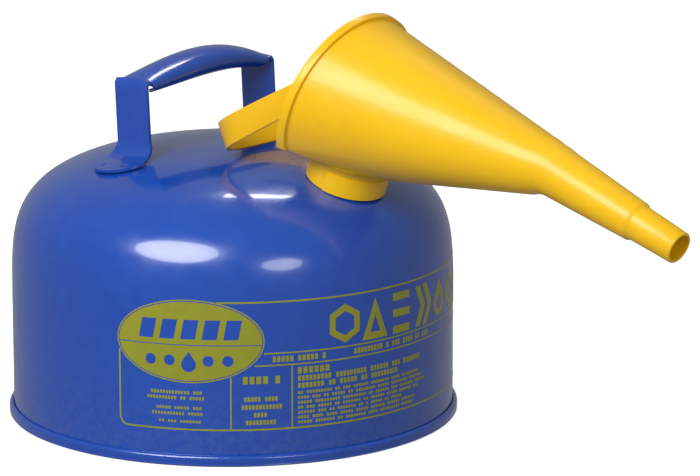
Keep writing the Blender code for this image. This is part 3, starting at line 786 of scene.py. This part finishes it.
def mouth_plane(inward):
    """A point and the normal of the slanting mouth, moved inward."""
    normal = Vector((-math.sin(MOUTH_SLOPE), 0.0, math.cos(MOUTH_SLOPE)))
    return MOUTH - normal * inward, normal


def build_cone():
    """The pouring cone with its rimmed mouth, flat floor, bent outlet and stepped nozzle."""
    solid = keep_side(loft(funnel_rings(0.0, rounded=True)), *mouth_plane(0.0))
    cone = add_mesh("pouring_cone", solid)
    bead = keep_side(loft(funnel_rings(RIM_BEAD)), *mouth_plane(-0.0002))
    point, normal = mouth_plane(2 * RIM_BEAD)
    combine(cone, keep_side(bead, point, -normal), "UNION")
    combine(cone, box((-0.10, -0.10, -0.10), (0.10, 0.10, FLOOR_UP)), place=SPOUT)
    hollow = loft(funnel_rings(-FUNNEL_WALL, 0.004))
    floor = CAN.inverted() @ SPOUT
    down = floor.to_3x3() @ Vector((0.0, 0.0, -1.0))
    keep_side(hollow, floor @ Vector((0.0, 0.0, FLOOR_UP + FUNNEL_WALL)), down)
    combine(cone, hollow)
    low, high = FLOOR_CUT
    combine(cone, turn(disc(FLOOR_BORE_R, low, high), SPOUT_SIDES), place=SPOUT)
    combine(cone, box((-0.040, -SLOT_HALF, low), (-0.010, SLOT_HALF, high)), place=SPOUT)
    round_edges(cone, 0.0007, 3, 38.0)
    place_piece(cone, PLASTIC, "funnel", "yellow_poly", "funnel_cone")


def build_collar():
    """The collar over the neck: flared at the top, thicker in front and slotted at the back."""
    low, high = COLLAR_LOW, FLOOR_UP - GAP
    rise = high - 0.0008 - COLLAR_FLARE_AT
    outside = []
    for k in range(13):
        a = math.pi / 2 * k / 12
        out = COLLAR_FLARE * (1 - math.cos(a))
        outside.append((COLLAR_R + out, COLLAR_FLARE_AT + rise * math.sin(a)))
    profile = [(COLLAR_BORE_R, low), (COLLAR_R, low), *outside]
    profile += [(outside[-1][0], high), (COLLAR_BORE_R, high)]
    collar = add_mesh("cone_collar", turn(profile, COLLAR_SIDES), SPOUT)
    inside = COLLAR_R - 0.0005
    front = [
        (inside, low),
        (COLLAR_FRONT_R, low),
        (COLLAR_FRONT_R + 0.0003, 0.0120),
        (inside, 0.0130),
    ]
    front_sides = COLLAR_SIDES // 2
    combine(collar, turn(front, front_sides, start=-82.0, sweep=164.0), "UNION", SPOUT)
    slot = box((-0.045, -SLOT_HALF, low - 0.01), (-0.010, SLOT_HALF, high + 0.01))
    combine(collar, slot, place=SPOUT)
    round_edges(collar, 0.0005, 2, 38.0)
    place_piece(collar, PLASTIC, "funnel", "yellow_poly", "funnel_collar")


def between(rear, mouth, share):
    """A point on the line from the rear to the mouth."""
    return tuple(a + (b - a) * share for a, b in zip(rear, mouth))


def build_loop():
    """The wide band round the back of the mouth."""
    half = []
    steps = 30
    for i in range(steps + 1):
        a = math.pi / 2 * i / steps
        ahead = LOOP_BEND * (1 - math.cos(a) ** (2 / LOOP_POWER))
        half.append((ahead, ahead, math.sin(a) ** (2 / LOOP_POWER)))
    for k in range(1, 7):
        low_share = LOOP_BEND + (LOOP_END_LOW - LOOP_BEND) * k / 6
        high_share = LOOP_BEND + (LOOP_END_HIGH - LOOP_BEND) * k / 6
        half.append((low_share, high_share, 1.0))
    plan = [(low, high, -width) for low, high, width in half[::-1]] + half[1:]
    rows = []
    for low_share, high_share, width in plan:
        y = LOOP_HALF_W * width
        low_x, low_z = between(LOOP_REAR_LOW, LOOP_MOUTH_LOW, low_share)
        high_x, high_z = between(LOOP_REAR_HIGH, LOOP_MOUTH_HIGH, high_share)
        rows.append((Vector((low_x, y, low_z)), Vector((high_x, y, high_z))))
    rings = []
    for i, (low, high) in enumerate(rows):
        before, after = rows[max(i - 1, 0)][0], rows[min(i + 1, len(rows) - 1)][0]
        inward = (after - before).cross(high - low).normalized() * LOOP_T
        rings.append([low, high, high + inward, low + inward])
    loop = add_mesh("mouth_loop", loft(rings))
    round_edges(loop, 0.0007, 3, 40.0)
    place_piece(loop, PLASTIC, "funnel", "yellow_poly", "funnel_loop")


# ---------------------------------------------------------------- the printed label
# Places on it are in degrees round the can and in metres up. Outlines are in metres both ways.

LINE = 0.0009
INK_THICK = 0.00012
PER_DEGREE = WALL_R * math.pi / 180
PANEL_START = -77.6
PANEL_SWEEP = 150.0
BORDER_LOW, BORDER_HIGH = 0.0228, 0.1023
BORDER_CORNER_R = 0.0055
BORDER_END = 0.0702
STRIP_LOW, STRIP_HIGH = 0.0628, 0.0703
BADGE_AT = 18.4
BADGE_MIDDLE = 0.0780
BADGE_HALF_W, BADGE_HALF_H = 0.0464, 0.0260
BADGE_SPLIT = 0.0757
BADGE_CLEAR = 0.0172
SIGN_AT, SIGN_PITCH = 58.7, 9.3
SIGN_LOW, SIGN_HIGH = 0.0722, 0.0978
BLOCK_FILL = 0.72
CURVE_SCALE = 10.0
SLICE_ROUND = 0.0036
SLICE_UP = (0.0700, 0.1060, 0.0040)

# Each row: degrees from the panel's start, middle, height, pitch, gap, and the blocks in each group.
ROWS = (
    (39.4, 0.06655, 0.0035, 0.0027, 0.0024, (5, 5, 1)),
    (61.4, 0.06655, 0.0035, 0.0025, 0.0026, (9, 1, 3, 4, 2, 3)),
    (8.6, 0.0459, 0.0020, 0.0019, 0.0020, (13, 3)),
    (7.6, 0.0424, 0.0020, 0.0019, 0.0020, (10, 2, 5)),
    (10.0, 0.0362, 0.0018, 0.0019, 0.0020, (5, 5, 3)),
    (8.8, 0.0326, 0.0018, 0.0019, 0.0020, (11, 5)),
    (10.6, 0.0277, 0.0016, 0.0019, 0.0020, (2, 3, 7)),
    (31.9, 0.0539, 0.0048, 0.0041, 0.0034, (4, 1)),
    (32.2, 0.0420, 0.0028, 0.0021, 0.0022, (5, 4)),
    (31.6, 0.0370, 0.0028, 0.0021, 0.0022, (12,)),
    (34.6, 0.0321, 0.0028, 0.0021, 0.0022, (4,)),
    (32.6, 0.0273, 0.0028, 0.0021, 0.0022, (9,)),
    (45.8, 0.05865, 0.0041, 0.0036, 0.0, (6,)),
    (45.8, 0.05365, 0.0033, 0.0025, 0.0028, (9, 9, 6, 3, 7)),
    (45.8, 0.0492, 0.0032, 0.0025, 0.0028, (7, 2, 5, 2, 9)),
)
# The small rows under them share a start, a size and an even step down.
SMALL_AT, SMALL_TOP, SMALL_STEP = 45.8, 0.0447, 0.0031
SMALL_HEIGHT, SMALL_PITCH, SMALL_GAP = 0.0018, 0.0019, 0.0018
SMALL_ROWS = (
    (2, 9, 2, 3, 6, 8, 4, 9),
    (4, 3, 2, 5, 2, 8, 5, 8, 7),
    (5, 9, 9, 2, 6, 3, 7, 6),
    (2, 3, 5, 2, 7, 2, 6, 5, 6, 3),
    (6, 3, 2, 7, 2, 1, 5, 2, 5),
    (4, 4, 4, 5, 5, 6, 6, 7),
    (5, 7, 2, 8, 4, 9, 6),
)


def slab(left, low, width, height, slant=0.0):
    """An upright bar, its top moved sideways by the slant."""
    high, right = low + height, left + width
    return [(left, low), (right, low), (right + slant, high), (left + slant, high)]


def oval(centre, middle, half_w, half_h, count=72):
    angles = [math.tau * k / count for k in range(count)]
    return [(centre + half_w * math.cos(a), middle + half_h * math.sin(a)) for a in angles]


def oval_part(centre, middle, half_w, half_h, level, side):
    """The part of an ellipse above (side 1) or below (side -1) a height."""
    reach = side * half_w * math.sqrt(1 - ((level - middle) / half_h) ** 2)
    arc = [p for p in oval(centre, middle, half_w, half_h) if (p[1] - level) * side > 0.0003]
    return [(centre + reach, level), *arc, (centre - reach, level)]


def polygon(centre, middle, size, count, turned=0.0):
    angles = [math.tau * k / count + math.radians(turned) for k in range(count)]
    return [(centre + size * math.cos(a), middle + size * math.sin(a)) for a in angles]


def drop(centre, middle, size):
    """A plain drop, point up."""
    points = [(centre, middle + size * 1.45)]
    radius = size * 0.82
    for k in range(15):
        angle = math.radians(28 - 236 * k / 14)
        points.append((centre + radius * math.cos(angle), middle + radius * math.sin(angle)))
    return points


def block_row(left, middle, height, pitch, gap, groups):
    """A row of small plain blocks in groups, in place of a line of print."""
    shapes = []
    at = left * PER_DEGREE
    for count in groups:
        for _ in range(count):
            shapes.append([slab(at, middle - height / 2, pitch * BLOCK_FILL, height)])
            at += pitch
        at += gap
    return shapes


def block_rows(start):
    shapes = []
    for degrees, *row in ROWS:
        shapes += block_row(start + degrees, *row)
    for k, groups in enumerate(SMALL_ROWS):
        middle = SMALL_TOP - SMALL_STEP * k
        shapes += block_row(start + SMALL_AT, middle, SMALL_HEIGHT, SMALL_PITCH, SMALL_GAP, groups)
    return shapes


def badge_shapes(centre):
    """An oval in two parts inside a ring: slanted bars above, and a drop between dots below."""
    outer, inner, filled = [
        (centre, BADGE_MIDDLE, BADGE_HALF_W - inset, BADGE_HALF_H - inset)
        for inset in (0.0, 0.0008, 0.0014)
    ]
    bars = [slab(centre + k * 0.0132 - 0.0052, 0.0793, 0.0092, 0.0122, 0.0024) for k in range(-2, 3)]
    dots = [oval(centre + k * 0.0120, 0.0660, 0.0034, 0.0034, 32) for k in (-2, -1, 1, 2)]
    return [
        [oval(*outer), oval(*inner)],
        [oval_part(*filled, BADGE_SPLIT + 0.0003, 1), *bars],
        [oval_part(*filled, BADGE_SPLIT - 0.0003, -1), drop(centre, 0.0635, 0.0056), *dots],
    ]


def rules(start):
    """The two level lines of the strip and the two upright dividers."""
    width = PANEL_SWEEP * PER_DEGREE
    shapes = []
    for degrees, level in ((37.2, STRIP_HIGH), (34.8, STRIP_LOW)):
        inset = degrees * PER_DEGREE
        shapes.append([slab(start * PER_DEGREE + inset, level - LINE / 2, width - inset, LINE)])
    for degrees, top in ((28.9, 0.0558), (44.3, STRIP_LOW - LINE * 0.7)):
        left = (start + degrees) * PER_DEGREE - LINE / 2
        shapes.append([slab(left, BORDER_LOW, LINE, top - BORDER_LOW)])
    return shapes


def signs(start):
    """A row of bold plain signs."""
    low, high = SIGN_LOW, SIGN_HIGH
    middle, half = (high + low) / 2, (high - low) / 2
    tall = high - low
    at = [(start + SIGN_AT + SIGN_PITCH * k) * PER_DEGREE for k in range(7)]
    ring = [polygon(at[0], middle, size, 6, 90) for size in (half * 0.95, half * 0.95 - 0.0045)]
    triangle = [
        [(at[1] - 0.0100, low), (at[1] + 0.0100, low), (at[1], high)],
        [(at[1] - 0.0040, low + 0.0045), (at[1] + 0.0040, low + 0.0045), (at[1], high - 0.0105)],
    ]
    levels = [[slab(at[2] - 0.0078, low + 0.0104 * k, 0.0156, 0.0048)] for k in range(3)]
    arrows = [[chevron(at[3] - 0.0085 + 0.0085 * k, low, middle, high)] for k in range(2)]
    pierced_drop = [
        drop(at[4], middle - 0.0030, 0.0105),
        oval(at[4], middle - 0.0035, 0.0042, 0.0042, 24),
    ]
    diamond = [polygon(at[5], middle, size, 4) for size in (half, half - 0.0062)]
    uprights = [[slab(at[6] - 0.0080 + 0.0058 * k, low, 0.0034, tall)] for k in range(3)]
    return [ring, triangle, *levels, *arrows, pierced_drop, diamond, *uprights]


def chevron(left, low, middle, high):
    return [
        (left, low),
        (left + 0.0050, low),
        (left + 0.0110, middle),
        (left + 0.0050, high),
        (left, high),
        (left + 0.0060, middle),
    ]


def panel_shapes(start):
    """Everything printed in one panel, each entry an outline followed by its holes."""
    badge = badge_shapes((start + BADGE_AT) * PER_DEGREE)
    return badge + rules(start) + signs(start) + block_rows(start)


def outline_faces(shapes):
    """Fill the outlines, holes left open, as one flat mesh. Curves fill well only when drawn large."""
    curve = bpy.data.curves.new("label_outline", "CURVE")
    curve.dimensions = "2D"
    curve.fill_mode = "FRONT"
    for shape in shapes:
        for outline in shape:
            spline = curve.splines.new("POLY")
            spline.points.add(len(outline) - 1)
            for point, (x, z) in zip(spline.points, outline):
                point.co = (x * CURVE_SCALE, z * CURVE_SCALE, 0.0, 1.0)
            spline.use_cyclic_u = True
    flat = bpy.data.objects.new("label_outline", curve)
    bpy.context.scene.collection.objects.link(flat)
    graph = bpy.context.evaluated_depsgraph_get()
    mesh = bmesh.new()
    mesh.from_mesh(bpy.data.meshes.new_from_object(flat.evaluated_get(graph)))
    bpy.data.objects.remove(flat)
    bmesh.ops.scale(mesh, vec=(1 / CURVE_SCALE,) * 3, verts=mesh.verts)
    return mesh


def slice_flat(mesh, normal, start, stop, pitch):
    """Cut a flat mesh into strips, so that it can bend."""
    for k in range(1, int(round((stop - start) / pitch))):
        everything = mesh.verts[:] + mesh.edges[:] + mesh.faces[:]
        point = Vector(normal) * (start + pitch * k)
        bmesh.ops.bisect_plane(mesh, geom=everything, dist=1e-7, plane_co=point, plane_no=normal)


def wrap(x, z, out):
    """A point on the can from its length round the wall, its height and its distance out."""
    angle = x / WALL_R
    step = 0.0004
    lean = (wall_radius(z + step) - wall_radius(z - step)) / (2 * step)
    outward = Vector((1.0, 0.0, -lean)).normalized()
    radius = wall_radius(z) + outward.x * out
    return Vector((radius * math.cos(angle), radius * math.sin(angle), z + outward.z * out))


def print_shapes(name, shapes):
    """Print the shapes on the can as a thin film of ink that follows its surface."""
    mesh = outline_faces(shapes)
    bmesh.ops.remove_doubles(mesh, verts=mesh.verts, dist=1e-6)
    left = min(v.co.x for v in mesh.verts)
    right = max(v.co.x for v in mesh.verts)
    slice_flat(mesh, (1, 0, 0), left, right, SLICE_ROUND)
    slice_flat(mesh, (0, 1, 0), *SLICE_UP)
    skin = bmesh.ops.extrude_face_region(mesh, geom=mesh.faces[:])
    top = {v for v in skin["geom"] if isinstance(v, bmesh.types.BMVert)}
    for vert in mesh.verts:
        out = INK_THICK if vert in top else -INK_THICK
        vert.co = wrap(vert.co.x, vert.co.y, out)
    film = add_mesh(name, mesh)
    place_piece(film, INK, "can", None)


def ribbon(points, width=LINE * 1.2):
    """A line of even width through the points."""
    near, far = [], []
    for i, point in enumerate(points):
        ahead = Vector(points[min(i + 1, len(points) - 1)]) - Vector(points[max(i - 1, 0)])
        ahead.normalize()
        side = Vector((-ahead.y, ahead.x)) * width / 2
        near.append(tuple(Vector(point) + side))
        far.append(tuple(Vector(point) - side))
    return near + far[::-1]


def quarter(centre_x, centre_z, radius, start):
    """A quarter circle, clockwise from an angle in degrees."""
    angles = [math.radians(start - 15 * k) for k in range(7)]
    return [(centre_x + radius * math.cos(a), centre_z + radius * math.sin(a)) for a in angles]


def build_label():
    """The border, which stops at each badge, and the two panels."""
    left = PANEL_START * PER_DEGREE
    right = (PANEL_START + 2 * PANEL_SWEEP) * PER_DEGREE
    first = (PANEL_START + BADGE_AT) * PER_DEGREE
    second = first + PANEL_SWEEP * PER_DEGREE
    radius = BORDER_CORNER_R
    top = [(first + BADGE_CLEAR, BORDER_HIGH), (second - BADGE_CLEAR, BORDER_HIGH)]
    around = [(second + BADGE_CLEAR, BORDER_HIGH)]
    around += quarter(right - radius, BORDER_HIGH - radius, radius, 90)
    around += quarter(right - radius, BORDER_LOW + radius, radius, 0)
    around += quarter(left + radius, BORDER_LOW + radius, radius, -90)
    around.append((left, BORDER_END))
    print_shapes("label_border", [[ribbon(top)], [ribbon(around)]])
    print_shapes("label_panel_front", panel_shapes(PANEL_START))
    print_shapes("label_panel_back", panel_shapes(PANEL_START + PANEL_SWEEP))


# ---------------------------------------------------------------- everything


build_shell()
build_pan()
build_handle()
build_neck()
build_lid()
build_spring()
build_cone()
build_collar()
build_loop()
build_label()

KEPT = {
    STEEL: ("arrester_end_cap", "hinge_bracket", "hinge_pin", "pin_clip", "lid_lever"),
    BRASS: ("arrester_ring", "lid_rivet", "gasket_retainer"),
    GAUZE: ("arrester_outer_screen", "arrester_inner_screen"),
    RUBBER: ("lid_gasket",),
}
for material, names in KEPT.items():
    for name in names:
        for kept_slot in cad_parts[name].material_slots:
            kept_slot.material = material

# ---------------------------------------------------------------- floor, light and camera


def build_floor():
    """A white floor that mirrors and bounce light don't see, so the enamel stays deep."""
    mesh = bmesh.new()
    bmesh.ops.create_grid(mesh, x_segments=2, y_segments=2, size=14.0)
    floor = add_mesh("studio_floor", mesh, Matrix.Translation((0.0, 0.0, -0.0002)))
    paint = Paint("pale_floor", (0.86, 0.86, 0.86), 0.6)
    paint.mottle((0.84, 0.84, 0.845), 0.5, 2.0, 3.0, 0.3, 0.7)
    floor.data.materials.append(paint.finish())
    paint.shader.inputs["Emission Color"].default_value = (1.0, 1.0, 1.0, 1.0)
    paint.shader.inputs["Emission Strength"].default_value = 0.75
    floor.visible_glossy = False
    floor.visible_diffuse = False


def soft_light(name, point, azimuth, elevation, distance, size, power, shape="ELLIPSE", mirrored=True):
    """An area light that a point of the object sees in a given direction."""
    light = bpy.data.lights.new(name, "AREA")
    light.shape = shape
    light.size, light.size_y = size
    light.energy = power
    lamp = bpy.data.objects.new(name, light)
    a, e = math.radians(azimuth), math.radians(elevation)
    away = Vector((math.cos(a) * math.cos(e), math.sin(a) * math.cos(e), math.sin(e)))
    lamp.location = Vector(point) + away * distance
    lamp.rotation_euler = away.to_track_quat("Z", "Y").to_euler()
    lamp.visible_glossy = mirrored
    bpy.context.scene.collection.objects.link(lamp)


def build_lights():
    """Two softboxes and a strip whose reflections show on the dome, and a plain fill from above."""
    soft_light("key_softbox", (-0.044, -0.119, 0.132), -82.0, 37.0, 1.7, (1.35, 0.95), 28.0)
    soft_light("side_softbox", (0.006, -0.079, 0.125), -21.7, 19.5, 1.6, (0.62, 0.40), 3.4)
    soft_light("rear_strip", (-0.024, -0.059, 0.159), 123.6, 53.0, 1.4, (0.36, 0.10), 1.6, "RECTANGLE")
    soft_light("top_softbox", (0.0, 0.0, 0.15), 60.0, 80.0, 1.9, (1.2, 1.2), 1.4, mirrored=False)


def build_world():
    world = bpy.data.worlds.new("studio")
    world.use_nodes = True
    background = world.node_tree.nodes["Background"]
    background.inputs["Color"].default_value = (1.0, 1.0, 1.0, 1.0)
    background.inputs["Strength"].default_value = 0.28
    bpy.context.scene.world = world
    bpy.context.scene.view_settings.view_transform = "Standard"


def build_camera():
    """A long lens from in front, to the right and a little above."""
    lens = bpy.data.cameras.new("photo_view")
    lens.lens = 225.35
    lens.sensor_width = 36.0
    lens.clip_end = 60.0
    camera = bpy.data.objects.new("photo_view", lens)
    right = Vector((0.761327, 0.648368, -0.000481))
    up = Vector((-0.146501, 0.172748, 0.974010))
    forward = Vector((-0.631600, 0.741470, -0.226504))
    turned = Matrix((right, up, -forward)).transposed().to_4x4()
    camera.matrix_world = CAN @ Matrix.Translation((1.81210, -2.01254, 0.73975)) @ turned
    bpy.context.scene.collection.objects.link(camera)
    bpy.context.scene.camera = camera


build_floor()
build_lights()
build_world()
build_camera()
